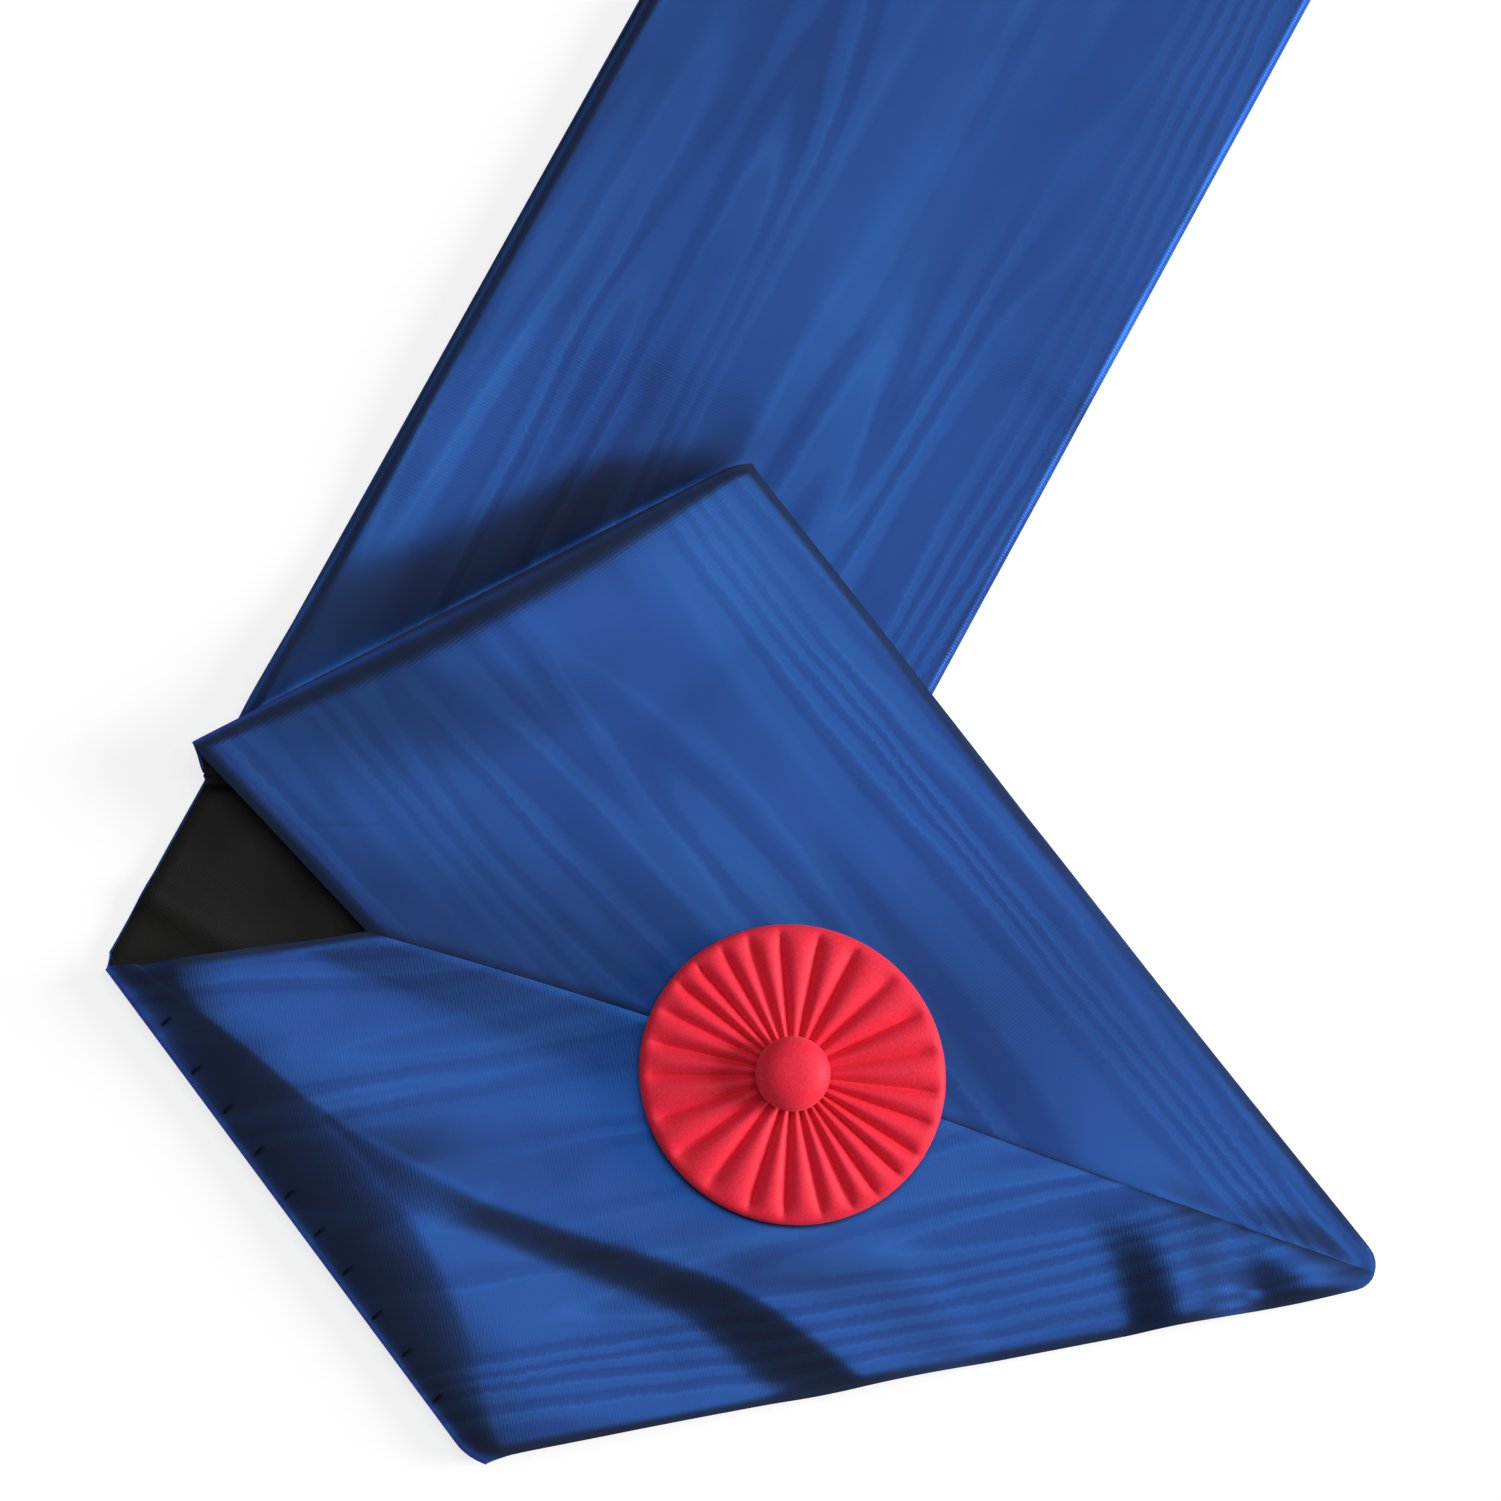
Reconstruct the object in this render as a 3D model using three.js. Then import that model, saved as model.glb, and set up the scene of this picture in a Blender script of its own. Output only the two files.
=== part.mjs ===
import * as THREE from "three";

// Folded sash of watered ribbon, in millimetres. The long doubled band runs along +Y, the mitred
// tip with its rosette points to +X, and the sash lies on a flat surface with +Z up.

// Ribbon and lining
const RIBBON_WIDTH = 100;
const HALF = RIBBON_WIDTH / 2;
const LOOP_LENGTH = 1700;
const WALL = 1.0;
const GAP = 0.3;
const LINING_SET_IN = 1.5;
const SHEET = 2 * WALL + GAP;
const PITCH = SHEET + GAP;
const TIGHT_ROLL = PITCH / 2;

// Middle height of each flat layer above the surface
const UNDER_BAND = SHEET / 2;
const UPPER_BAND = UNDER_BAND + PITCH;
const TURNED_UNDER = UPPER_BAND + PITCH;

// Rosette and its covered button
const ROSETTE = { x: 59.5, y: -46.0, length: 51.2, width: 49.4, back: 1.0, rise: 2.1, rim: 1.2 };
const PLEATS = { count: 25, grooveShare: 0.13, grooveDepth: 1.3, unevenness: 0.115, evenAt: 2.75 };
const BUTTON = { diameter: 12.4, height: 5, edge: 1.3 };
const FLAT_MARGIN = 9;

// Plan of the lines across the ribbon at which it is sewn or folded, from its outer edge to its
// inner edge. A fold is tight at its two ends and swells between them: in its middle the upper
// layer stands its rise above the lower one, whose height is the fold's base, and rolls down to
// the fold line over its reach. The under band lies a little to the left of the upper one, and
// its inner edge slips along the lower fold where the ribbon turns over it.
const BAND_SHIFT = 0.5;
const MITRE = { outer: [163.5, -28.9], inner: [-13.4, -57.8], bow: 3.2 };
const FRONT_ARM_BEND = { outer: [74, 10.1], inner: [-36.2, -50.2] };
const TOP_FOLD = fold([4.7, 41.9], [-54.1, -44.3], TURNED_UNDER, 6.2, 6.5);
const HIDDEN_FOLD = fold([49.5, -2.4], [-50.3, -48.4], UPPER_BAND, PITCH, TIGHT_ROLL);
const SHOWN_END = { outer: [50.8, 172], inner: [-49.2, 172] };
const PINCH_START = { outer: [49.3, -84], inner: [-51.2, -60] };
const LOWER_FOLD = fold([44.1, -126.3], [-51.1, -81.9], UNDER_BAND, 5.2, 11);
const LOWER_FOLD_OVER = fold([44.1, -126.3], [-48, -83.2], UNDER_BAND, 5.2, 11);
const CORNER_ROUNDING = 4;

// How far the arms take to settle past the edge of each layer that they lie on
const EDGE_CLEARANCE = 1;
const LONG_SETTLE = 100;
const SHORT_SETTLE = 42;
const ROLL_SETTLE = 26;

// Folds and dents that stand up from the cloth. A ridge runs between two points of the plan and
// falls away over its left and right widths; start and end are the shares of its rise there.
const ARM_RIDGES = [
  { name: "lip of the long crease", from: [-26, -85], to: [100, -81.5],
    rise: 3.6, left: 15, right: 13, start: 0.5, end: 0.9 },
  { name: "pillow beside the lower fold", from: [4, -99], to: [48, -112],
    rise: 3.2, left: 19, right: 13, start: 0.7, end: 1 },
  { name: "first flute", from: [121, -36.5], to: [135, -52.7],
    rise: 2.4, left: 8, right: 12, start: 0.3, end: 1 },
  { name: "second flute", from: [140, -33.5], to: [150, -41.6],
    rise: 1.6, left: 6, right: 8, start: 0.4, end: 1 },
];
const BAND_RIDGES = [
  { name: "dent at the right", from: [12, 85], to: [53, 82],
    rise: 1.7, left: 20, right: 10, start: 0.6, end: 1 },
  { name: "faint dent", from: [33, 123], to: [53, 121],
    rise: 0.9, left: 12, right: 9, start: 0.5, end: 1 },
  { name: "dent by the top fold", from: [-53, 10], to: [-22, 9],
    rise: 1.5, left: 14, right: 7, start: 1, end: 0.3 },
];

// Facets: columns across the lining, rows round each roll, how far the rows of a stretch crowd
// towards its ends, and the seam's groove in the mitre
const COLUMNS = 12;
const EDGE_SOFTENING = 0.4;
const ROLL_ROWS = 6;
const ROW_CROWDING = 0.1;
const SEAM = { halfWidth: 0.9, depth: 0.45 };

// The line across the ribbon at the shoulder takes up what the loop's length leaves, and the
// two bands lie a little to either side of the centreline there
const SHOULDER_Y = shoulderPlace();
const SHOULDER = shoulderAt(BAND_SHIFT);
const SHOULDER_UNDER = shoulderAt(-BAND_SHIFT);

// The ribbon's way round its loop, from the mitre up the front arm and back along the back arm
const STRETCHES = [
  { name: "front arm below its bend", from: MITRE, to: FRONT_ARM_BEND, rows: 10, height: armHeight },
  { name: "front arm above its bend", from: FRONT_ARM_BEND, to: TOP_FOLD, rows: 8, height: armHeight },
  { name: "turned-under length", from: TOP_FOLD, to: HIDDEN_FOLD, rows: 1, height: () => TURNED_UNDER },
  { name: "shown band", from: HIDDEN_FOLD, to: SHOWN_END, rows: 14, height: bandHeight },
  { name: "plain upper band", from: SHOWN_END, to: SHOULDER, rows: 3, height: bandHeight },
  { name: "under band", from: SHOULDER_UNDER, to: PINCH_START, rows: 4, height: () => UNDER_BAND },
  { name: "pinched end", from: PINCH_START, to: LOWER_FOLD, rows: 2, height: () => UNDER_BAND },
  { name: "back arm", from: LOWER_FOLD_OVER, to: MITRE, rows: 18, height: armHeight },
];

function fold(outer, inner, base, rise, reach) {
  return { outer, inner, base, rise, reach };
}

function shoulderAt(x) {
  return fold([x + HALF, SHOULDER_Y], [x - HALF, SHOULDER_Y], UNDER_BAND, PITCH, TIGHT_ROLL);
}

function clamp01(t) {
  return Math.min(1, Math.max(0, t));
}

function smooth(t) {
  const c = clamp01(t);
  return c * c * (3 - 2 * c);
}

function mix(a, b, t) {
  return a + (b - a) * t;
}

function mix2(p, q, t) {
  return [mix(p[0], q[0], t), mix(p[1], q[1], t)];
}

function distance2(p, q) {
  return Math.hypot(q[0] - p[0], q[1] - p[1]);
}

function unit2(p, q) {
  const length = distance2(p, q);
  return [(q[0] - p[0]) / length, (q[1] - p[1]) / length];
}

// Signed distance of a point to the left of the line from p to q
function leftOf(x, y, p, q) {
  const [ux, uy] = unit2(p, q);
  return ux * (y - p[1]) - uy * (x - p[0]);
}

// 1 over a layer, falling smoothly to 0 at reach past its edge
function settle(past, reach) {
  return 1 - smooth((past - EDGE_CLEARANCE) / reach);
}

function ridgeHeight(ridge, x, y) {
  const [ux, uy] = unit2(ridge.from, ridge.to);
  const length = distance2(ridge.from, ridge.to);
  const along = (x - ridge.from[0]) * ux + (y - ridge.from[1]) * uy;
  const side = leftOf(x, y, ridge.from, ridge.to);
  const width = side > 0 ? ridge.left : ridge.right;
  const away = Math.hypot(side, along - length * clamp01(along / length)) / width;
  const share = mix(ridge.start, ridge.end, clamp01(along / length));
  return away < 1 ? ridge.rise * share * (1 - away * away) ** 2 : 0;
}

function sumOfRidges(ridges, x, y) {
  return ridges.reduce((sum, ridge) => sum + ridgeHeight(ridge, x, y), 0);
}

// The cloth stays flat under the stiff rosette
function offRosette(x, y) {
  const away = distance2([x, y], [ROSETTE.x, ROSETTE.y]) - ROSETTE.length / 2;
  return smooth(away / FLAT_MARGIN);
}

// The arms lie over the under band, the upper band and the turned-under length, settle past the
// edge of each, and come down to the surface at the tip
function armHeight(x, y) {
  const pastHidden = -leftOf(x, y, HIDDEN_FOLD.inner, HIDDEN_FOLD.outer);
  const pastTurned = leftOf(x, y, TOP_FOLD.outer, HIDDEN_FOLD.outer);
  const under = settle(x - HALF, LONG_SETTLE);
  const folded = settle(pastHidden, SHORT_SETTLE);
  const turned = settle(pastTurned, SHORT_SETTLE);
  const layers = under + under * folded + folded * turned;
  return UNDER_BAND + PITCH * layers + sumOfRidges(ARM_RIDGES, x, y) * offRosette(x, y);
}

function bandHeight(x, y) {
  return UPPER_BAND + sumOfRidges(BAND_RIDGES, x, y);
}

function middle(line) {
  return mix2(line.outer, line.inner, 0.5);
}

function shoulderPlace() {
  const arms = distance2(middle(MITRE), middle(TOP_FOLD)) + distance2(middle(LOWER_FOLD), middle(MITRE));
  const turned = distance2(middle(TOP_FOLD), middle(HIDDEN_FOLD));
  const bandEnds = middle(HIDDEN_FOLD)[1] + middle(LOWER_FOLD)[1];
  return (LOOP_LENGTH - arms - turned + bandEnds) / 2;
}

// A place on a line across the ribbon. The mitre bows a little towards the front arm.
function across(line, share) {
  const [x, y] = mix2(line.outer, line.inner, share);
  const [ux, uy] = unit2(line.outer, line.inner);
  const bow = (line.bow ?? 0) * share * Math.sin(Math.PI * share);
  return [x + uy * bow, y - ux * bow];
}

// How far a fold is swollen: not at all at its ends, fully in its middle
function swell(share) {
  return Math.sin(Math.PI * share) ** 2;
}

// Where a column of a stretch leaves the flat for the roll at a fold
function flatEnd(at, from, line, share, isUpper) {
  if (!line.rise) return at;
  const [ux, uy] = unit2(from, at);
  const [lx, ly] = unit2(line.outer, line.inner);
  const facing = Math.abs(ux * ly - uy * lx);
  const back = (isUpper ? mix(TIGHT_ROLL, line.reach, swell(share)) : TIGHT_ROLL) / facing;
  return [at[0] - ux * back, at[1] - uy * back];
}

// Height at which an arm meets its fold's roll
function rollTop(line, share) {
  return line.base + mix(PITCH, line.rise, swell(share));
}

// One column of a stretch: its two flat ends in plan, the fold's points beyond them, and its
// height anywhere between them
function column(stretch, share) {
  const isArm = stretch.height === armHeight;
  const from = across(stretch.from, share);
  const to = across(stretch.to, share);
  const start = flatEnd(from, to, stretch.from, share, isArm);
  const end = flatEnd(to, from, stretch.to, share, isArm);
  const lift = (line, p) => (isArm && line.rise ? rollTop(line, share) - armHeight(...p) : 0);
  const startLift = lift(stretch.from, start);
  const endLift = lift(stretch.to, end);
  const height = (p) =>
    stretch.height(...p) +
    startLift * (1 - smooth(distance2(p, start) / ROLL_SETTLE)) +
    endLift * (1 - smooth(distance2(p, end) / ROLL_SETTLE));
  return { start, end, from, to, height };
}

// A row's place along a column: finer towards both ends, and clear of the seam's groove
function placeAlong(stretch, col, step) {
  const even = step / stretch.rows;
  const eased = even - (stretch.rows > 2 ? ROW_CROWDING * Math.sin(2 * Math.PI * even) : 0);
  const [ux, uy] = unit2(MITRE.outer, MITRE.inner);
  const [cx, cy] = unit2(col.start, col.end);
  const seam = SEAM.halfWidth / Math.abs(ux * cy - uy * cx) / distance2(col.start, col.end);
  const first = stretch.from === MITRE ? seam : 0;
  const last = stretch.to === MITRE ? 1 - seam : 1;
  return mix(first, last, eased);
}

// A point of a flat or draped row, with the direction in which the ribbon runs there
function flatPoint(col, t) {
  const p = mix2(col.start, col.end, t);
  const [ux, uy] = unit2(col.start, col.end);
  const probe = 0.5;
  const ahead = col.height([p[0] + ux * probe, p[1] + uy * probe]);
  const behind = col.height([p[0] - ux * probe, p[1] - uy * probe]);
  const [x, y] = roundTip(p);
  return {
    place: new THREE.Vector3(x, y, col.height(p)),
    along: new THREE.Vector3(ux, uy, (ahead - behind) / (2 * probe)),
  };
}

// A point of the half turn from the end of one stretch to the start of the next: two quarters of
// an ellipse that meet, upright, at the fold line
function rollPoint(before, after, turn) {
  const isFirst = turn <= 0.5;
  const near = flatPoint(isFirst ? before : after, isFirst ? 1 : 0).place;
  const far = flatPoint(isFirst ? after : before, isFirst ? 0 : 1).place;
  const climbs = isFirst === far.z > near.z;
  const middle = Math.min(near.z, far.z) + TIGHT_ROLL;
  const [x, y] = mix2(before.to, after.from, 0.5);
  const line = new THREE.Vector3(x, y, near.z);
  const angle = Math.PI * turn;
  const place = near.clone().lerp(line, Math.sin(angle));
  place.z = middle + (near.z - middle) * Math.abs(Math.cos(angle));
  const along = line.sub(near).multiplyScalar(Math.cos(angle));
  along.z = Math.abs(near.z - middle) * Math.sin(angle) * (climbs ? 1 : -1);
  return { place, along };
}

// Pulls a point beyond the rounding of an outer corner back onto its arc, where the corner's two
// edges run to the given ends
function roundCorner(p, corner, ends) {
  const [first, second] = ends.map((end) => unit2(corner, end));
  const bisector = unit2([0, 0], [first[0] + second[0], first[1] + second[1]]);
  const half = Math.acos(first[0] * bisector[0] + first[1] * bisector[1]);
  const depth = CORNER_ROUNDING / Math.sin(half);
  const centre = [corner[0] + bisector[0] * depth, corner[1] + bisector[1] * depth];
  const reach = distance2(p, centre);
  const beyond = (centre[0] - p[0]) * bisector[0] + (centre[1] - p[1]) * bisector[1];
  const near = distance2(p, corner) < CORNER_ROUNDING / Math.tan(half);
  const cut = near && beyond > CORNER_ROUNDING * Math.sin(half) && reach > CORNER_ROUNDING;
  return cut ? mix2(centre, p, CORNER_ROUNDING / reach) : p;
}

function roundTip(p) {
  return roundCorner(p, MITRE.outer, [FRONT_ARM_BEND.outer, LOWER_FOLD.outer]);
}

// All rows round the loop. A column is a place across the width, from the outer edge inwards.
function loopRows() {
  const shares = columnShares();
  const columns = STRETCHES.map((stretch) => shares.map((share) => column(stretch, share)));
  const rows = [{ points: columns[0].map((col) => flatPoint(col, 0)), atSeam: true }];
  STRETCHES.forEach((stretch, k) => {
    const cols = columns[k];
    const firstStep = k > 0 && !stretch.from.rise ? 1 : 0;
    for (let step = firstStep; step <= stretch.rows; step++) {
      rows.push({ points: cols.map((col) => flatPoint(col, placeAlong(stretch, col, step))) });
    }
    if (!stretch.to.rise) return;
    for (let turn = 1; turn < ROLL_ROWS; turn++) {
      const next = columns[k + 1];
      rows.push({ points: cols.map((col, j) => rollPoint(col, next[j], turn / ROLL_ROWS)) });
    }
  });
  return rows;
}

// Shares of the width at which columns stand: the lining's edges are the second and last but one
function columnShares() {
  const edge = LINING_SET_IN / RIBBON_WIDTH;
  const shares = [0];
  for (let j = 0; j <= COLUMNS; j++) shares.push(mix(edge, 1 - edge, j / COLUMNS));
  shares.push(1);
  return shares;
}

// The side of the cloth on which the watered face lies, square to the ribbon's run and its width
function faceNormal(points, j) {
  const outer = points[Math.max(0, j - 1)].place;
  const inner = points[Math.min(points.length - 1, j + 1)].place;
  return points[j].along.clone().cross(inner.clone().sub(outer)).normalize();
}

// A closed wall round the loop between two offsets from the middle of the cloth, over all
// columns but those left out along each edge
function loopWall(rows, leftOut, top, bottom) {
  const positions = [];
  rows.forEach(({ points, atSeam }) => {
    points.forEach(({ place }, j) => {
      const inset = Math.min(j, points.length - 1 - j) - leftOut;
      if (inset < 0) return;
      const normal = faceNormal(points, j);
      const upper = place.clone().addScaledVector(normal, top(inset, atSeam));
      const lower = place.clone().addScaledVector(normal, bottom);
      positions.push(...upper.toArray(), ...lower.toArray());
    });
  });
  const width = rows[0].points.length - 2 * leftOut;
  const at = (i, j, side) => 2 * ((i % rows.length) * width + j) + side;
  const faces = [];
  const quad = (a, b, c, d) => faces.push(a, b, c, a, c, d);
  for (let i = 0; i < rows.length; i++) {
    for (let j = 0; j < width - 1; j++) {
      quad(at(i, j, 0), at(i + 1, j, 0), at(i + 1, j + 1, 0), at(i, j + 1, 0));
      quad(at(i, j, 1), at(i, j + 1, 1), at(i + 1, j + 1, 1), at(i + 1, j, 1));
    }
    quad(at(i, 0, 0), at(i, 0, 1), at(i + 1, 0, 1), at(i + 1, 0, 0));
    quad(at(i, width - 1, 0), at(i + 1, width - 1, 0), at(i + 1, width - 1, 1), at(i, width - 1, 1));
  }
  return closedGeometry(positions, faces);
}

function closedGeometry(positions, faces) {
  const geometry = new THREE.BufferGeometry();
  geometry.setAttribute("position", new THREE.Float32BufferAttribute(positions, 3));
  geometry.setIndex(faces);
  geometry.computeVertexNormals();
  return geometry;
}

function cloth(name, geometry, color, roughness) {
  const material = new THREE.MeshStandardMaterial({ color, roughness, metalness: 0 });
  const mesh = new THREE.Mesh(geometry, material);
  mesh.name = name;
  return mesh;
}

// Watered ribbon: its long edges are softened, and a groove marks the seam of the mitre
function moireRibbon(rows) {
  const top = (inset, atSeam) => {
    const edge = inset === 0 ? EDGE_SOFTENING : 0;
    return SHEET / 2 - edge - (atSeam ? SEAM.depth - edge / 2 : 0);
  };
  return cloth("moire_ribbon", loopWall(rows, 0, top, GAP / 2), 0x2350a0, 0.45);
}

// Black lining on the back of the ribbon, set in from its edges by one column
function liningRibbon(rows) {
  return cloth("lining_ribbon", loopWall(rows, 1, () => -GAP / 2, -SHEET / 2), 0x101214, 0.6);
}

// Height of the rosette over its back: rounded pleats with a narrow groove between them, which
// runs out just short of the smooth rim and under the button
function pleatHeight(share, radius) {
  const outer = ROSETTE.length / 2;
  const dome = mix(ROSETTE.rim, ROSETTE.rise, smooth((outer - radius) / 5));
  const inGroove = clamp01(1 - Math.min(share, 1 - share) / PLEATS.grooveShare);
  const shown = smooth((outer - radius - 0.6) / 2.2);
  return ROSETTE.back + dome - PLEATS.grooveDepth * inGroove * shown * (dome / ROSETTE.rise);
}

// Pleats crowd a little on two opposite sides
function pleatAngle(turns) {
  const even = 2 * Math.PI * turns;
  return even - PLEATS.unevenness * Math.sin(2 * (even - PLEATS.evenAt));
}

// Slightly oval rosette of one knife-pleated ribbon on a flat back
function rosettePleats() {
  const outer = ROSETTE.length / 2;
  const oval = ROSETTE.width / ROSETTE.length;
  const radii = [4, 12, outer - 4, outer - 1.6, outer];
  const shares = [0, PLEATS.grooveShare, 0.5, 1 - PLEATS.grooveShare];
  const spokes = PLEATS.count * shares.length;
  const positions = [0, 0, 0, 0, 0, ROSETTE.back + ROSETTE.rise - PLEATS.grooveDepth];
  const point = (angle, radius, z) => {
    positions.push(radius * Math.cos(angle), oval * radius * Math.sin(angle), z);
  };
  for (let pleat = 0; pleat < PLEATS.count; pleat++) {
    for (const share of shares) {
      const angle = pleatAngle((pleat + share) / PLEATS.count);
      radii.forEach((radius) => point(angle, radius, pleatHeight(share, radius)));
      point(angle, outer - 0.5, 0);
    }
  }
  const ring = radii.length + 1;
  const at = (spoke, k) => 2 + (spoke % spokes) * ring + k;
  const faces = [];
  for (let s = 0; s < spokes; s++) {
    faces.push(1, at(s, 0), at(s + 1, 0));
    for (let k = 0; k < ring - 1; k++) {
      faces.push(at(s, k), at(s, k + 1), at(s + 1, k + 1));
      faces.push(at(s, k), at(s + 1, k + 1), at(s + 1, k));
    }
    faces.push(0, at(s + 1, ring - 1), at(s, ring - 1));
  }
  return cloth("rosette_pleats", closedGeometry(positions, faces), 0xd81836, 0.6);
}

// Domed button covered in the rosette's ribbon
function rosetteButton() {
  const radius = BUTTON.diameter / 2;
  const profile = [new THREE.Vector2(0, 0), new THREE.Vector2(radius - 0.6, 0)];
  for (let step = 0; step <= 6; step++) {
    const angle = (Math.PI / 2) * (step / 6);
    const x = step === 6 ? 0 : radius * Math.cos(angle);
    profile.push(new THREE.Vector2(x, BUTTON.edge + (BUTTON.height - BUTTON.edge) * Math.sin(angle)));
  }
  const geometry = new THREE.LatheGeometry(profile, 24).rotateX(Math.PI / 2);
  return cloth("rosette_button", geometry, 0xe02040, 0.55);
}

// Lays the rosette on the arms: turned to their slope, and a gap clear of their highest point
function placedRosette() {
  const probe = ROSETTE.width / 3;
  const top = (x, y) => armHeight(ROSETTE.x + x, ROSETTE.y + y) + SHEET / 2;
  const slopeX = (top(probe, 0) - top(-probe, 0)) / (2 * probe);
  const slopeY = (top(0, probe) - top(0, -probe)) / (2 * probe);
  let lift = 0;
  for (let radius = 0; radius <= ROSETTE.length / 2; radius += 2) {
    for (let angle = 0; angle < 2 * Math.PI; angle += Math.PI / 12) {
      const x = radius * Math.cos(angle);
      const y = radius * Math.sin(angle);
      lift = Math.max(lift, top(x, y) - slopeX * x - slopeY * y);
    }
  }
  const group = new THREE.Group();
  group.position.set(ROSETTE.x, ROSETTE.y, lift + GAP);
  const up = new THREE.Vector3(-slopeX, -slopeY, 1).normalize();
  group.quaternion.setFromUnitVectors(new THREE.Vector3(0, 0, 1), up);
  const button = rosetteButton();
  button.position.z = ROSETTE.back + ROSETTE.rise - 0.2 + GAP;
  group.add(rosettePleats(), button);
  return group;
}

// The origin is the middle of the sash's bounding box, on the surface that it lies on
function sash() {
  const pieces = new THREE.Group();
  const rows = loopRows();
  pieces.add(moireRibbon(rows), liningRibbon(rows), placedRosette());
  const box = new THREE.Box3().setFromObject(pieces, true);
  const centre = box.getCenter(new THREE.Vector3());
  pieces.position.set(-centre.x, -centre.y, -box.min.z);
  const group = new THREE.Group();
  group.add(pieces);
  return group;
}

export default sash();
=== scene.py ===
import math
from collections import namedtuple

import bpy
import numpy as np
from mathutils import Matrix, Vector, noise


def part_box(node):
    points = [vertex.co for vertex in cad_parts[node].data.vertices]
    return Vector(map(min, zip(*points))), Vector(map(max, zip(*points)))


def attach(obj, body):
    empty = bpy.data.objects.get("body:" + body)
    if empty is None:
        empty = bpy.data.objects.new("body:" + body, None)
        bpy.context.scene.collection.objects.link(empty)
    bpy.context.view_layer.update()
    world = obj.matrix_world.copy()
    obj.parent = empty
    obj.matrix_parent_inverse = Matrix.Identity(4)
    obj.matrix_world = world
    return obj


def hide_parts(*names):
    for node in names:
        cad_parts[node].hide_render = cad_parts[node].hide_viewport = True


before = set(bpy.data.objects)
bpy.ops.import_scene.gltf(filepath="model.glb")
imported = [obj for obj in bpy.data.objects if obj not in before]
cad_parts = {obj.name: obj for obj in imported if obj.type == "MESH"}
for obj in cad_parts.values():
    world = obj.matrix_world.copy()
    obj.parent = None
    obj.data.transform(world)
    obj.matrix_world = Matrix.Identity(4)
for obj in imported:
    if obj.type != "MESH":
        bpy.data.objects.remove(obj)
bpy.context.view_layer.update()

# The view. The sash is seen from almost straight above, turned so that the doubled band runs up
# to the right. The camera looks at a place a little right of the band's centreline, where the
# front arm lies on the band.
MM = 0.001
VIEW_AZIMUTH, VIEW_ELEVATION = math.radians(28), math.radians(80)
VIEW_DISTANCE = 1.0
VIEW_TARGET = Vector((27.24 * MM, 0, 0))
PIXELS_PER_MM, FRAME_PIXELS = 5.95, 1501
SENSOR_WIDTH = 36
NEAREST_SEEN, FARTHEST_SEEN = 0.01, 20

# The folded lay is drawn in millimetres from the band's centreline. Its left corner and the
# shoulder's end give its place in the frame.
LEFT_CORNER_X, SHOULDER_END_Y = -54.71, 665.46
ribbon_low, ribbon_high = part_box("moire_ribbon")
LAY_ORIGIN = Vector((ribbon_low.x - LEFT_CORNER_X * MM, ribbon_high.y - SHOULDER_END_Y * MM, 0))


def add_camera():
    back = Vector((
        math.sin(VIEW_AZIMUTH) * math.cos(VIEW_ELEVATION),
        -math.cos(VIEW_AZIMUTH) * math.cos(VIEW_ELEVATION),
        math.sin(VIEW_ELEVATION),
    ))
    bpy.ops.object.camera_add(location=LAY_ORIGIN + VIEW_TARGET + back * VIEW_DISTANCE)
    camera = bpy.context.object
    camera.rotation_euler = back.to_track_quat("Z", "Y").to_euler()
    camera.data.sensor_width = SENSOR_WIDTH
    camera.data.lens = SENSOR_WIDTH * PIXELS_PER_MM * VIEW_DISTANCE / MM / FRAME_PIXELS
    camera.data.clip_start, camera.data.clip_end = NEAREST_SEEN, FARTHEST_SEEN
    bpy.context.scene.camera = camera


add_camera()

# Watered ribbon. One loop of blue ribbon 100 mm wide, ribbed across and pressed so that the ribs
# shimmer in long grained figures. Its ends meet in the mitred seam of the tip; it is folded and
# laid flat, face up on the arms and the shown band.
RIBBON_WIDTH, HALF = 100, 50
RIBBON_WALL, EDGE_ROUND = 0.8, 0.3

# A sheet is the ribbon together with its lining. The layers' heights are those of a sheet's middle
SHEET, GAP = 2.3, 0.3
PITCH = SHEET + GAP
TIGHT_ROLL = PITCH / 2
UNDER_BAND = SHEET / 2
UPPER_BAND = UNDER_BAND + PITCH
TURNED_UNDER = UPPER_BAND + PITCH


def line(outer, inner, base=0.0, rise=0.0, reach=0.0, fullness=2.0, steepness=(0.5, 0.5),
         bow=0.0, blunt=0.0):
    """A line across the ribbon from its outer to its inner edge: a seam, a plain station or a fold.

    A fold turns over from base, the height of its lower layer, to rise above it in its middle,
    and the cloth begins to turn at reach before the line. With less fullness the roll swells
    sooner from its ends. Its flank's steepness is given for its outer and its inner end. A line
    may bow aside, and its outer corner may be blunt, both in millimetres."""
    return dict(outer=np.array(outer, float), inner=np.array(inner, float), base=base, rise=rise,
                reach=reach, fullness=fullness, steepness=steepness, bow=bow, blunt=blunt)


SHOULDER_Y = SHOULDER_END_Y - SHEET / 2
BAND_SHIFT = 0.5
BLUNT_REACH = 5
TIGHT_FOLD = dict(rise=PITCH, reach=TIGHT_ROLL)
LOWER_ROLL = dict(base=UNDER_BAND, rise=6.2, reach=15, fullness=1.2, steepness=(0.3, 0.6),
                  blunt=1.7)
MITRE = line((163.5, -28.9), (-13.4, -57.8), bow=3.2)
FRONT_ARM_BEND = line((74, 10.1), (-36.2, -50.2))
TOP_FOLD = line((4.7, 41.9), (-54.1, -44.3), base=TURNED_UNDER, rise=6.2, reach=6.2,
                steepness=(0, 0), blunt=-1.2)
HIDDEN_FOLD = line((49.5, -2.4), (-50.3, -48.4), base=UPPER_BAND, **TIGHT_FOLD)
SHOWN_END = line((50.8, 172), (-49.2, 172))
PINCH_START = line((49.3, -84), (-51.2, -60))
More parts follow.
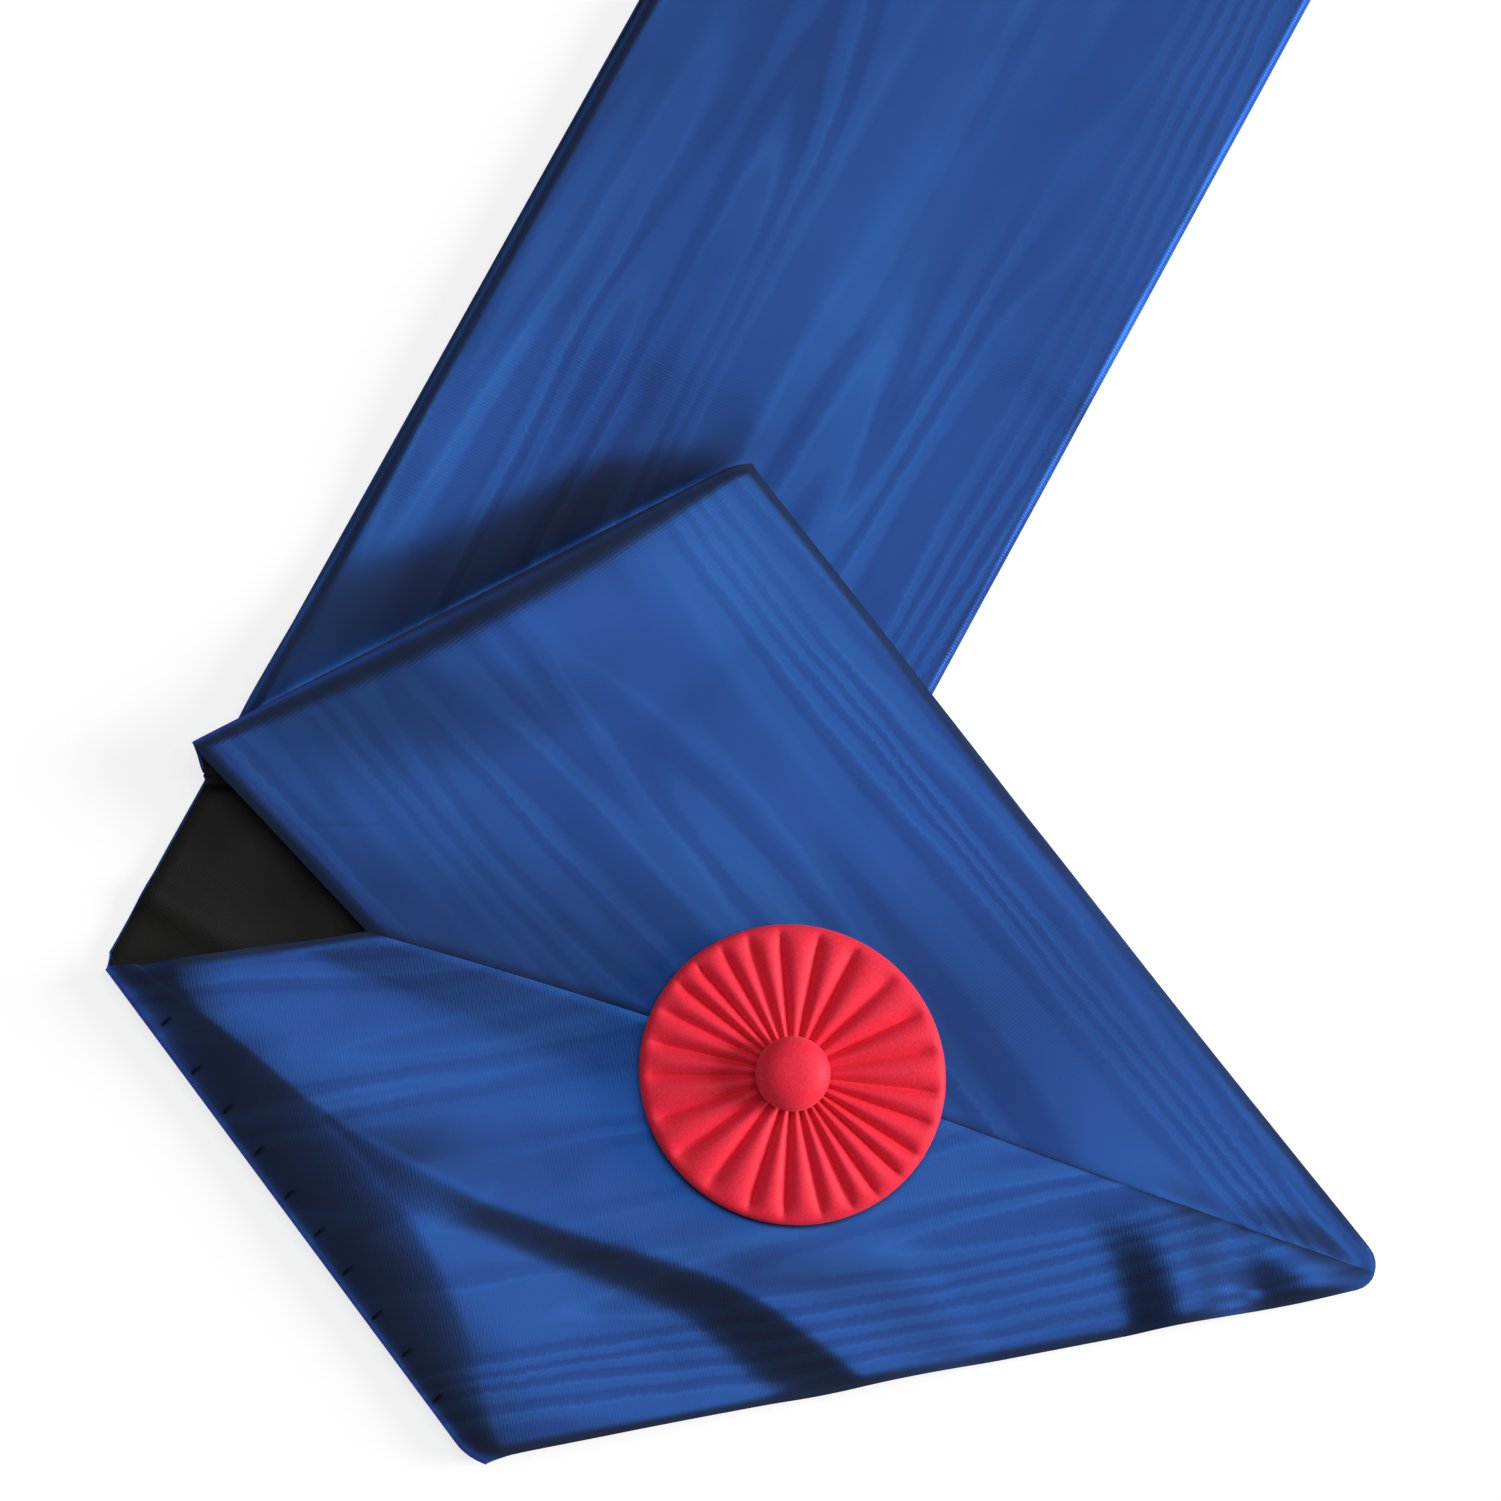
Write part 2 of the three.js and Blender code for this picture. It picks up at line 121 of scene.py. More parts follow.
LOWER_FOLD = line((44.1, -126.3), (-51.1, -81.9), **LOWER_ROLL)
LOWER_FOLD_OVER = line((44.1, -126.3), (-48, -83.2), **LOWER_ROLL)
SHOULDER = line((HALF + BAND_SHIFT, SHOULDER_Y), (BAND_SHIFT - HALF, SHOULDER_Y),
                base=UNDER_BAND, **TIGHT_FOLD)
SHOULDER_UNDER = line((HALF - BAND_SHIFT, SHOULDER_Y), (-BAND_SHIFT - HALF, SHOULDER_Y),
                      base=UNDER_BAND, **TIGHT_FOLD)

# The tip's corner is drawn in to an arc, and within TIP_REACH of it the edges don't droop
CORNER_ROUNDING, ROUNDING_DEPTH, TIP_REACH = 4.3, 3.2, 16

# Past the edge of a layer under it an arm stays up for a little and then comes down, over a long
# way from the under band and a short one from the others. A swollen roll comes down over a way of
# its own, and from the lower fold's inner corner the arm rises onto the upper band over another
EDGE_CLEARANCE, LONG_SETTLE, SHORT_SETTLE, ROLL_SETTLE, CORNER_SETTLE = 1, 100, 56, 26, 24

# The rosette's place and size. Under it and close round it the arms' buckles are pressed flatter
ROSETTE_X, ROSETTE_Y, ROSETTE_LENGTH, ROSETTE_WIDTH = 59.5, -46.0, 51.2, 49.4
FLAT_MARGIN, FLAT_SHARE = 14, 0.5

# Buckles and dents of the cloth, each a crest line with a row for each of its points: x, y, rise,
# and the widths over which it falls away to the left and right of its run
LONG_CREASE = [
    (-47.0, -67.0, 2.5, 17, 11),
    (-43.0, -74.0, 2.5, 17, 11),
    (-37.6, -80.0, 2.6, 17, 13),
    (-32.0, -82.6, 2.9, 19, 15),
    (-25.0, -84.4, 3.2, 21, 14.5),
    (-16.0, -86.3, 3.2, 23, 13),
    (-3.0, -87.8, 3.0, 26, 11.5),
    (10.5, -88.1, 2.5, 27, 9.5),
    (24.0, -88.0, 2.1, 28, 8.0),
    (35.0, -86.4, 1.9, 28, 7.2),
    (45.7, -84.9, 1.9, 27, 7.0),
    (54.8, -82.6, 2.2, 27, 8.0),
    (63.7, -80.9, 2.7, 27, 9.5),
    (72.0, -80.8, 3.2, 26, 12),
    (80.0, -82.2, 3.3, 24, 12.5),
    (88.0, -83.4, 3.2, 22, 11.5),
    (100.0, -86.5, 2.9, 20, 9),
]
PILLOW = [
    (4, -99, 0.9, 14, 20),
    (24, -107, 1.5, 17, 24),
    (48, -115, 1.8, 20, 26),
    (70, -112, 1.2, 17, 24),
    (84, -103, 0.6, 12, 20),
]
FIRST_FLUTE = [
    (117, -38, 0.1, 9, 7),
    (121.5, -39, 1.0, 11, 9),
    (126.2, -41, 2.2, 12, 10.5),
    (131, -44.8, 3.0, 13, 11),
    (134.6, -49.0, 3.0, 13, 11),
    (137.6, -54, 2.8, 13, 10),
]
SECOND_FLUTE = [
    (135.5, -35, 0.2, 8, 6),
    (139, -34.6, 1.3, 9, 7.5),
    (144.5, -34.4, 1.9, 9, 9),
    (150.1, -35.2, 1.8, 9, 8),
    (156, -36.5, 1.1, 8, 6),
]
BAND_DENT = [
    (12, 85, 0.1, 18, 9),
    (24, 84, 0.4, 18, 10),
    (40, 81.5, 0.6, 20, 10),
    (54, 80, 0.5, 18, 10),
]
FAINT_DENT = [
    (33, 123, 0.15, 16, 9),
    (53, 121, 0.3, 16, 9),
]
BAND_SWELL = [
    (3.2, 41.4, 0.2, 1.8, 7),
    (-1.3, 35.5, 0.9, 2, 9),
    (-11.6, 19.9, 1.6, 2, 15),
    (-22.4, 4.2, 1.8, 2, 17),
    (-32.7, -11.6, 1.8, 2, 18),
    (-43.3, -27.0, 1.8, 2, 19),
    (-55, -44, 1.7, 2, 19),
]
BAND_HOLLOW = [
    (4, 46, -0.1, 8, 14),
    (-6, 41, -0.9, 12, 18),
    (-15, 37, -1.5, 15, 22),
    (-23, 31, -1.6, 16, 24),
    (-29, 20, -1.6, 16, 26),
    (-35.5, 10, -1.6, 18, 26),
    (-42, 4.5, -1.6, 20, 26),
    (-50, 1, -1.6, 22, 26),
    (-58, -3, -1.5, 22, 26),
]
UNDER_CREASE = [
    (-56, -68, 0.7, 4, 5.5),
    (-47.9, -68.9, 0.8, 4, 5.5),
    (-36.9, -69.4, 0.6, 4, 5),
    (-24, -70, 0.1, 4, 4),
]

# Each crest with its sharpness: 2 is round on both sides, less is steeper on the right. Where two
# stretches of a crest meet, their sizes pass over into each other within a few millimetres
CREST_BLEND = 3.0
ARM_CRESTS = [(LONG_CREASE, 1.3), (PILLOW, 2), (FIRST_FLUTE, 1.8), (SECOND_FLUTE, 1.8)]
BAND_CRESTS = [(BAND_DENT, 1.6), (FAINT_DENT, 1.6), (BAND_SWELL, 1.1), (BAND_HOLLOW, 2)]
UNDER_CRESTS = [(UNDER_CREASE, 1.6)]
TINY = 1e-6


def smooth(t):
    """Rises from 0 to 1 as t does, softly at both ends."""
    c = np.clip(t, 0, 1)
    return c * c * (3 - 2 * c)


def mix(a, b, t):
    return a + (b - a) * t


def unit(p, q):
    d = np.asarray(q, float) - np.asarray(p, float)
    return d / np.linalg.norm(d, axis=-1, keepdims=True)


def distance(points, place):
    return np.linalg.norm(points - place, axis=-1)


def left_of(points, p, q):
    """How far points lie to the left of the line that runs from p to q."""
    ux, uy = unit(p, q)
    return ux * (points[..., 1] - p[1]) - uy * (points[..., 0] - p[0])


def settle(past, reach):
    """How much of its height an arm keeps past an edge under it, from 1 down to 0."""
    return 1 - smooth((past - EDGE_CLEARANCE) / reach)


def crest_height(points, crest, sharpness):
    """How far a buckle lifts the cloth, from its crest line down to both sides."""
    rows = np.array(crest, float)
    stretches = []
    for a, b in zip(rows[:-1], rows[1:]):
        length = np.linalg.norm(b[:2] - a[:2])
        share = np.clip((points - a[:2]) @ unit(a[:2], b[:2]) / length, 0, 1)
        away = distance(points, mix(a[:2], b[:2], share[..., None]))
        leftness = (1 + left_of(points, a[:2], b[:2]) / np.maximum(away, TINY)) / 2
        stretches.append([away, leftness] + [mix(a[k], b[k], share) for k in (2, 3, 4)])
    away, leftness, *sizes = np.moveaxis(np.array(stretches), 1, 0)
    nearest = away.min(axis=0)
    leftness = np.take_along_axis(leftness, away.argmin(axis=0)[None], axis=0)[0]
    weight = np.exp((nearest - away) / CREST_BLEND)
    rise, left, right = (np.sum(weight * size, axis=0) / weight.sum(axis=0) for size in sizes)
    past = np.minimum(nearest / mix(right, left, leftness), 1)
    return rise * (1 - past ** mix(sharpness, 2, leftness)) ** 2


def buckles(points, crests):
    return sum(crest_height(points, crest, sharpness) for crest, sharpness in crests)


def off_rosette(points):
    """The share of its buckles that the cloth keeps, less under the rosette."""
    away = distance(points, (ROSETTE_X, ROSETTE_Y)) - ROSETTE_LENGTH / 2
    return 1 - FLAT_SHARE * (1 - smooth(away / FLAT_MARGIN))


def arm_height(points):
    """Height of the arms, which lie over the band's two layers and the turned-under length."""
    past_hidden = -left_of(points, HIDDEN_FOLD["inner"], HIDDEN_FOLD["outer"])
    past_turned = left_of(points, TOP_FOLD["outer"], HIDDEN_FOLD["outer"])
    from_corner = distance(points, LOWER_FOLD["inner"])
    under = settle(points[..., 0] - HALF, LONG_SETTLE)
    folded = settle(past_hidden, SHORT_SETTLE) * smooth(from_corner / CORNER_SETTLE)
    turned = settle(past_turned, SHORT_SETTLE)
    layers = under + under * folded + folded * turned
    return UNDER_BAND + PITCH * layers + buckles(points, ARM_CRESTS) * off_rosette(points)


def band_height(points):
    return UPPER_BAND + buckles(points, BAND_CRESTS)


def turned_height(points):
    return np.full(points.shape[:-1], TURNED_UNDER)


def under_height(points):
    return UNDER_BAND + buckles(points, UNDER_CRESTS)


# The ribbon's way round its loop, from one line to the next: rows of quads, height, the heading in
# which it runs in degrees, how far its outer and inner edges droop, and whether the cloth ripples
Stretch = namedtuple("Stretch", "first last rows height heading droop ripples")
STRETCHES = [
    # Front arm, below and above its slight bend
    Stretch(MITRE, FRONT_ARM_BEND, 62, arm_height, 155.8, (0.5, 0.5), True),
    Stretch(FRONT_ARM_BEND, TOP_FOLD, 46, arm_height, 155.8, (0.5, 0.5), True),
    # Length that is turned under at the top fold
    Stretch(TOP_FOLD, HIDDEN_FOLD, 6, turned_height, -43.2, (0, 0), False),
    # Upper band, as far as the photo shows it and on to the shoulder
    Stretch(HIDDEN_FOLD, SHOWN_END, 136, band_height, 90, (0.8, 1.2), True),
    Stretch(SHOWN_END, SHOULDER, 50, band_height, 90, (0.8, 1.2), True),
    # Under band, and its end beside the lower fold
    Stretch(SHOULDER_UNDER, PINCH_START, 50, under_height, -90, (0, 0), False),
    Stretch(PINCH_START, LOWER_FOLD, 16, under_height, -90, (0, 0), False),
    # Back arm
    Stretch(LOWER_FOLD_OVER, MITRE, 112, arm_height, 39, (0.5, 0.5), True),
]
ROLL_ROWS = 20

# A few close rows stand beside the mitred seam, for its groove. The arms' outer hem shows as a
# faint line, which fades in towards the tip
SEAM_ROWS, SEAM_DEPTH, SEAM_HALF_WIDTH = (0, 0.4, 0.8, 1.6), 0.11, 1.0
DROOP_REACH = 1.8
HEM_IN, HEM_DEPTH, HEM_HALF_WIDTH, HEM_FROM_X, HEM_FADE = 3.8, 0.1, 0.7, 92, 20

# Small waves of laid cloth: their size, their height and the layer of noise that they are cut from
RIPPLES = [(26, 0.16, 1.3), (8, 0.05, 6.1)]

# A roll's reach at its ends, as a share of that in its middle; where along the fold its flank's
# steepness passes over; and how far a roll rises above a tight one before its flank is that steep
END_REACH = 1 / 4
FLANK_FROM, FLANK_OVER, FULL_BULK = 0.35, 0.35, 2


def across(station, shares):
    """Places on a line across the ribbon, from its outer edge, 0, to its inner edge, 1."""
    places = mix(station["outer"], station["inner"], shares[:, None])
    ux, uy = unit(station["outer"], station["inner"])
    bow = station["bow"] * shares * np.sin(np.pi * shares)
    bow = bow + station["blunt"] * np.clip(1 - shares * RIBBON_WIDTH / BLUNT_REACH, 0, 1) ** 2
    return places + bow[:, None] * np.array([uy, -ux])


def swell(station, shares):
    """How much of its rise a roll has along the fold, from 0 at its ends to 1 in its middle."""
    return np.clip(np.sin(np.pi * shares), 0, 1) ** station["fullness"]


def facing(run, station):
    """How squarely each run meets a line: 1 at a right angle."""
    ux, uy = unit(station["outer"], station["inner"])
    return np.abs(run[:, 0] * uy - run[:, 1] * ux)


def flat_end(at, start, station, shares, is_upper):
    """Where a stretch that comes from start stops lying flat: at the line, or before its roll."""
    if not station["rise"]:
        return at
    run = unit(start, at)
    reach = TIGHT_ROLL
    if is_upper:
        at_edge = max(TIGHT_ROLL, station["reach"] * END_REACH)
        reach = mix(at_edge, station["reach"], swell(station, shares) ** (1 / station["fullness"]))
    return at - run * (reach / facing(run, station))[:, None]


def ripple(points):
    """Small uneven waves of laid cloth."""
    def wave(x, y):
        return sum(rise * noise.noise(Vector((x / size, y / size, layer)))
                   for size, rise, layer in RIPPLES)

    waves = [wave(x, y) for x, y in points.reshape(-1, 2)]
    return np.array(waves).reshape(points.shape[:-1])


def columns_of(stretch, shares):
    """The flat ends of a stretch's columns, the fold's places beyond them, and its height."""
    first, last, height = stretch.first, stretch.last, stretch.height
    is_arm = height is arm_height
    begin, finish = across(first, shares), across(last, shares)
    start = flat_end(begin, finish, first, shares, is_arm)
    end = flat_end(finish, begin, last, shares, is_arm)
    from_outer, from_inner = shares * RIBBON_WIDTH, (1 - shares) * RIBBON_WIDTH
    outer_droop, inner_droop = stretch.droop
    droop = (outer_droop * (1 - smooth(from_outer / DROOP_REACH))
             + inner_droop * (1 - smooth(from_inner / DROOP_REACH)))
    hem = HEM_DEPTH * np.exp(-((from_outer - HEM_IN) / HEM_HALF_WIDTH) ** 2)

    def lift(station, places):
        if not (is_arm and station["rise"]):
            return np.zeros(len(shares))
        swollen = station["base"] + mix(PITCH, station["rise"], swell(station, shares))
        return np.maximum(swollen - height(places), 0)

    start_lift, end_lift = lift(first, start), lift(last, end)

    def lifted(points):
        laid = height(points)
        laid = laid + start_lift * (1 - smooth(distance(points, start) / ROLL_SETTLE))
        laid = laid + end_lift * (1 - smooth(distance(points, end) / ROLL_SETTLE))
        laid = laid - droop * smooth(distance(points, MITRE["outer"]) / TIP_REACH)
        if stretch.ripples:
            laid += ripple(points) * (off_rosette(points) if is_arm else 1)
        if is_arm:
            laid -= hem * smooth((points[..., 0] - HEM_FROM_X) / HEM_FADE)
        return laid

    seam_line = first if first is MITRE else last
    seam_reach = distance(end, start) * facing(unit(start, end), seam_line)
    seam = 0 if first is MITRE else 1 if last is MITRE else None
    flank = mix(*last["steepness"], smooth((shares - FLANK_FROM) / FLANK_OVER))
    return dict(start=start, end=end, begin=begin, finish=finish, height=lifted, flank=flank,
                seam=seam, seam_reach=seam_reach)


def round_tip(points):
    """Draws the mitred tip's corner in to an arc, softly over the last few millimetres."""
    corner = MITRE["outer"]
    edges = [unit(corner, FRONT_ARM_BEND["outer"]), unit(corner, LOWER_FOLD["outer"])]
    bisector = unit((0, 0), edges[0] + edges[1])
    half = math.acos(edges[0] @ bisector)
    centre = corner + bisector * CORNER_ROUNDING / math.sin(half)
    offset = points - centre
    reach = np.maximum(np.linalg.norm(offset, axis=-1), TINY)
    toward = offset / reach[..., None]
    outward = [(edge * math.cos(half) - bisector) / math.sin(half) for edge in edges]
    facing_edge = np.maximum(toward @ outward[0], toward @ outward[1])
    is_tip = -(toward @ bisector) > math.sin(half)
    full_reach = CORNER_ROUNDING / np.where(is_tip, facing_edge, 1)
    kept = CORNER_ROUNDING - ROUNDING_DEPTH
    drawn = kept + (reach - kept) * ROUNDING_DEPTH / (full_reach - kept)
    is_drawn = is_tip & (reach > kept)
    return np.where(is_drawn[..., None], centre + toward * drawn[..., None], points)


def row_steps(cols, count):
    """Even rows along a stretch, with a few close ones beside the mitred seam."""
    even = np.linspace(0, 1, count + 1)[:, None] * np.ones(len(cols["start"]))
    if cols["seam"] is None:
        return even
    close = np.array(SEAM_ROWS)[:, None] / cols["seam_reach"]
    near = np.concatenate([close[:-1], mix(close[-1], 1, even)])
    return 1 - near[::-1] if cols["seam"] else near


def flat_rows(cols, steps):
    """Places on a stretch's columns, at steps from 0 at their start to 1 at their end."""
    points = mix(cols["start"], cols["end"], steps[..., None])
    height = cols["height"](points)
    if cols["seam"] is not None:
        past_seam = np.abs(steps - cols["seam"]) * cols["seam_reach"]
        height = height - SEAM_DEPTH * np.clip(1 - past_seam / SEAM_HALF_WIDTH, 0, 1)
    return np.concatenate([round_tip(points), height[..., None]], axis=-1)


def end_row(cols, step):
    return flat_rows(cols, np.full((1, len(cols["start"])), float(step)))


def roll_rows(before, after, count):
    """Rows of the half turn between two stretches: two quarters of an ellipse at the fold line."""
    start, end = end_row(before, 1)[0], end_row(after, 0)[0]
    middle = np.minimum(start[:, 2], end[:, 2]) + TIGHT_ROLL
    bulk = smooth((np.maximum(start[:, 2], end[:, 2]) - middle - TIGHT_ROLL) / FULL_BULK)
    fold_line = (before["finish"] + after["begin"]) / 2
    rows = []
    for turn in range(1, count):
        angle = math.pi * turn / count
        near = start if turn * 2 <= count else end
        steepness = before["flank"] * bulk * (near[:, 2] > middle)
        plan = mix(near[:, :2], fold_line, (math.sin(angle) ** (1 + steepness))[:, None])
        height = middle + (near[:, 2] - middle) * abs(math.cos(angle)) ** (1 + steepness / 2)
        rows.append(np.concatenate([plan, height[:, None]], axis=-1))
    return np.array(rows)


def loop_surface(shares):
    """Middle of the cloth round the loop, and how far along the ribbon each of its places is."""
    columns = [columns_of(stretch, shares) for stretch in STRETCHES]
    middle = len(shares) // 2
    rows, travel = [], []
    for k, stretch in enumerate(STRETCHES):
        cols = columns[k]
        joined = bool(rows) and not stretch.first["rise"]
        steps = row_steps(cols, stretch.rows)[1 if joined else 0:]
        flat = flat_rows(cols, steps)
        heading = math.radians(stretch.heading)
        run = np.array([math.cos(heading), math.sin(heading)])
        gone = mix(cols["start"], cols["end"], steps[..., None]) @ run
        if not rows:
            reached = gone[0, middle]
        elif joined:
            reached = travel[-1][-1, middle] + distance(flat[0, middle], rows[-1][-1, middle])
        gone = gone - gone[0, middle] + reached
        rows.append(flat)
        travel.append(gone)
        if stretch.last["rise"]:
            roll = roll_rows(cols, columns[k + 1], ROLL_ROWS)
            path = np.concatenate([flat[-1:], roll, end_row(columns[k + 1], 0)])
            passed = np.cumsum(np.linalg.norm(np.diff(path, axis=0), axis=-1), axis=0)
            rows.append(roll)
            travel.append(gone[-1] + passed[:-1])
            reached = gone[-1, middle] + passed[-1, middle]
    return np.concatenate(rows), np.concatenate(travel)


EVENING_ROUNDS = 8


def face_normals(places):
    """The side of the cloth on which the watered face lies, evened out a little from row to row."""
    normal = np.cross(np.gradient(places, axis=0), np.gradient(places, axis=1))
    normal /= np.linalg.norm(normal, axis=-1, keepdims=True)
    for _ in range(EVENING_ROUNDS):
        normal[1:-1] = (normal[:-2] + 2 * normal[1:-1] + normal[2:]) / 4
    return normal / np.linalg.norm(normal, axis=-1, keepdims=True)


def new_piece(name, add_primitive, **settings):
    """Adds a primitive while nothing else is selected, and names it."""
    bpy.ops.object.select_all(action="DESELECT")
    add_primitive(**settings)
    piece = bpy.context.object
    piece.name = piece.data.name = name
    return piece


def edit_all(operator, **settings):
    """Runs one of edit mode's operators on all of the piece in hand."""
    bpy.ops.object.mode_set(mode="EDIT")
    bpy.ops.mesh.select_all(action="SELECT")
    operator(**settings)
    bpy.ops.object.mode_set(mode="OBJECT")


def give_wall(piece, thickness):
    """Gives a sheet its thickness, behind the face that it has."""
    wall = piece.modifiers.new("wall", "SOLIDIFY")
    wall.thickness = thickness * MM
    wall.offset = -1
    bpy.ops.object.modifier_apply(modifier="wall")


def lay_strip(name, places, travel, shares):
    """A flat grid from -1 to 1 whose columns and rows are moved to their places in the folded lay,
    with a UV map of the share across the ribbon and the way along it in ribbon widths."""
    row_count, column_count = places.shape[:2]
    strip = new_piece(name, bpy.ops.mesh.primitive_grid_add, x_subdivisions=column_count - 1,
                      y_subdivisions=row_count - 1, size=2)
    mesh = strip.data
    flat = np.zeros(len(mesh.vertices) * 3)
    mesh.vertices.foreach_get("co", flat)
    flat = flat.reshape(-1, 3)
    column = np.rint((1 - flat[:, 0]) / 2 * (column_count - 1)).astype(int)
    row = np.rint((flat[:, 1] + 1) / 2 * (row_count - 1)).astype(int)
    laid = places[row, column]
    laid[:, 2] = np.maximum(laid[:, 2], 0)
    mesh.vertices.foreach_set("co", (laid * MM + np.array(LAY_ORIGIN)).ravel())
    corner = np.zeros(len(mesh.loops), int)
    mesh.loops.foreach_get("vertex_index", corner)
    row, column = row[corner], column[corner]
    ribbon_map = np.stack([shares[column], travel[row, column] / RIBBON_WIDTH], axis=-1)
    mesh.uv_layers[0].data.foreach_set("uv", ribbon_map.ravel())
    mesh.uv_layers[0].name = "ribbon"
    mesh.update()
    return strip, row, column


SEAM_MERGE = 0.02


def sew_ends_and_give_wall(strip, thickness, rounding):
    """Joins a strip's ends in the mitre, gives it its thickness and softens its cut edges."""
    edit_all(bpy.ops.mesh.remove_doubles, threshold=SEAM_MERGE * MM)
    give_wall(strip, thickness)
    soft = strip.modifiers.new("soft edge", "BEVEL")
    soft.width = rounding * MM
    soft.segments = 2
    soft.limit_method = "ANGLE"
    soft.angle_limit = math.radians(60)
    bpy.ops.object.modifier_apply(modifier="soft edge")
    bpy.ops.object.shade_smooth_by_angle(angle=math.radians(50))


# Columns stand close together at the edges, for their droop and the hem's line, and evenly between
EDGE_COLUMNS = [0, 0.5, 1.0, 1.6, 2.4, 3.2, 3.8, 4.4]
FIRST_EVEN, EVEN_COLUMNS = 5.5, 59
edge_shares = np.array(EDGE_COLUMNS) / RIBBON_WIDTH
even_shares = np.linspace(FIRST_EVEN, RIBBON_WIDTH - FIRST_EVEN, EVEN_COLUMNS) / RIBBON_WIDTH
ribbon_shares = np.concatenate([edge_shares, even_shares, 1 - edge_shares[::-1]])
ribbon_middle, ribbon_travel = loop_surface(ribbon_shares)
ribbon_face = ribbon_middle + face_normals(ribbon_middle) * SHEET / 2
watered_ribbon, loop_row, loop_column = lay_strip(
    "watered_ribbon", ribbon_face, ribbon_travel, ribbon_shares)

# The watering's grain follows the level lines of a height over the laid-out ribbon. It rises to
# both edges by these heights, waves a little, and has charted figures
EDGE_RISES, EDGE_SHARPNESS = (6.0, 3.0), 3.5

# Waves: height, size across and along the ribbon, and the layer of noise that they are cut from
GRAIN_WAVES = [(2.6, 15, 140, 3.1), (0.7, 7, 70, 8.4)]
TONE_WAVES = [(0.5, 26, 80, 12.7)]

# Figures, and the broad lights and darks: place across and along the ribbon, half sizes, and
# height or tone
FIGURES = [
    (62, 95, 14, 36, 1.3),
    (40, 20, 14, 60, 0.6),
]
TONES = [
    (90, 140, 10, 45, 0.5),
    (72, 120, 12, 40, -0.35),
    (38, 168, 9, 16, 0.5),
    (40, 128, 14, 24, -0.35),
    (28, -8, 9, 22, -0.6),
    (12, 0, 9, 40, 0.4),
    (45, -45, 9, 24, 0.5),
    (36, -100, 10, 22, -0.6),
    (80, 0, 12, 20, 0.35),
]


def add_waves_and_spots(field, u, v, waves, spots):
    """Adds waves and charted spots to a field over the ribbon, at places in millimetres."""
    for rise, size_u, size_v, layer in waves:
        field += np.array([rise * noise.noise(Vector((a / size_u, b / size_v, layer)))
                           for a, b in zip(u, v)])
    for spot_u, spot_v, half_u, half_v, rise in spots:
        field += rise * np.exp(-((u - spot_u) / half_u) ** 2 - ((v - spot_v) / half_v) ** 2)
    return field


def watering_level(u, v):
    """The height whose level lines the grain follows."""
    edge = np.abs(u - HALF) / HALF
    height = np.where(u < HALF, *EDGE_RISES) * edge ** EDGE_SHARPNESS
    return add_waves_and_spots(height, u, v, GRAIN_WAVES, FIGURES)


def watering_tone(u, v):
    """The broad lights and darks, about 0."""
    return add_waves_and_spots(np.zeros(len(u)), u, v, TONE_WAVES, TONES)


def store_watering(strip, shares, travel, row, column):
    """Keeps on each corner the grain's level, its slope across the ribbon, and the broad tone."""
    u = np.broadcast_to(shares * RIBBON_WIDTH, travel.shape)
    level = watering_level(u.ravel(), travel.ravel()).reshape(travel.shape)
    slope = np.gradient(level, axis=1) / np.gradient(u, axis=1)
    tone = watering_tone(u.ravel(), travel.ravel()).reshape(travel.shape)
    kept = np.stack([level, slope, tone], axis=-1)
    layer = strip.data.attributes.new("watering", "FLOAT_VECTOR", "CORNER")
    layer.data.foreach_set("vector", kept[row, column].astype(np.float32).ravel())


store_watering(watered_ribbon, ribbon_shares, ribbon_travel, loop_row, loop_column)
sew_ends_and_give_wall(watered_ribbon, RIBBON_WALL, EDGE_ROUND)

# Silk: nearly all of its light is a blue gloss, with a thin fuzz that greys what lies in shade
SILK = {
    "Metallic": 0.98,
    "Roughness": 0.36,
    "Specular Tint": (0.04, 0.15, 0.6, 1),
    "Sheen Weight": 0.095,
    "Sheen Roughness": 0.8,
    "Sheen Tint": (0.88, 0.93, 1.0, 1),
}
SILK_COLORS = [
    (0.0, (0.006, 0.029, 0.145)),
    (0.5, (0.010, 0.050, 0.210)),
    (1.0, (0.015, 0.078, 0.284)),
]

# Tone of the grain from one of its lines to the next, and its strength in patches
GRAIN = [(0.0, 0.30), (0.16, 0.34), (0.27, 0.62), (0.35, 0.86), (0.44, 0.66), (0.58, 0.64),
         (0.70, 0.60), (0.80, 0.36), (0.88, 0.22), (1.0, 0.30)]
GRAIN_STRENGTH = [(0.36, 0.35), (0.6, 1.0)]
TONE_SHARE = 0.5

# Noise over the ribbon: grain size across and along it in millimetres, detail, and the shift that
# sets it apart from the others. Two of them move the grain's lines by up to half these lengths
RIB_STEPS, WANDER, PATCHES = (9, 0.8, 1, 0.0), (7, 14, 2, 3.0), (32, 85, 1, 5.0)
RIB_SHIFT, WANDER_SHIFT = 1.0, 1.6

# Ribs: pitch in millimetres, unevenness and its scale, and the strength and depth of their bump
RIB_PITCH, RIB_UNEVENNESS, RIB_BUMP = 0.55, (0.6, 3), (0.06, 0.1)
WAVE_PERIOD = 2 * math.pi / 20    # of Blender's wave texture at scale 1


def new_finish(name, values):
    """A material whose shader has these values all over; gives its nodes and its shader too."""
    finish = bpy.data.materials.new(name)
    finish.use_nodes = True
    shader = finish.node_tree.nodes["Principled BSDF"]
    for socket, value in values.items():
        shader.inputs[socket].default_value = value
    return finish, finish.node_tree, shader


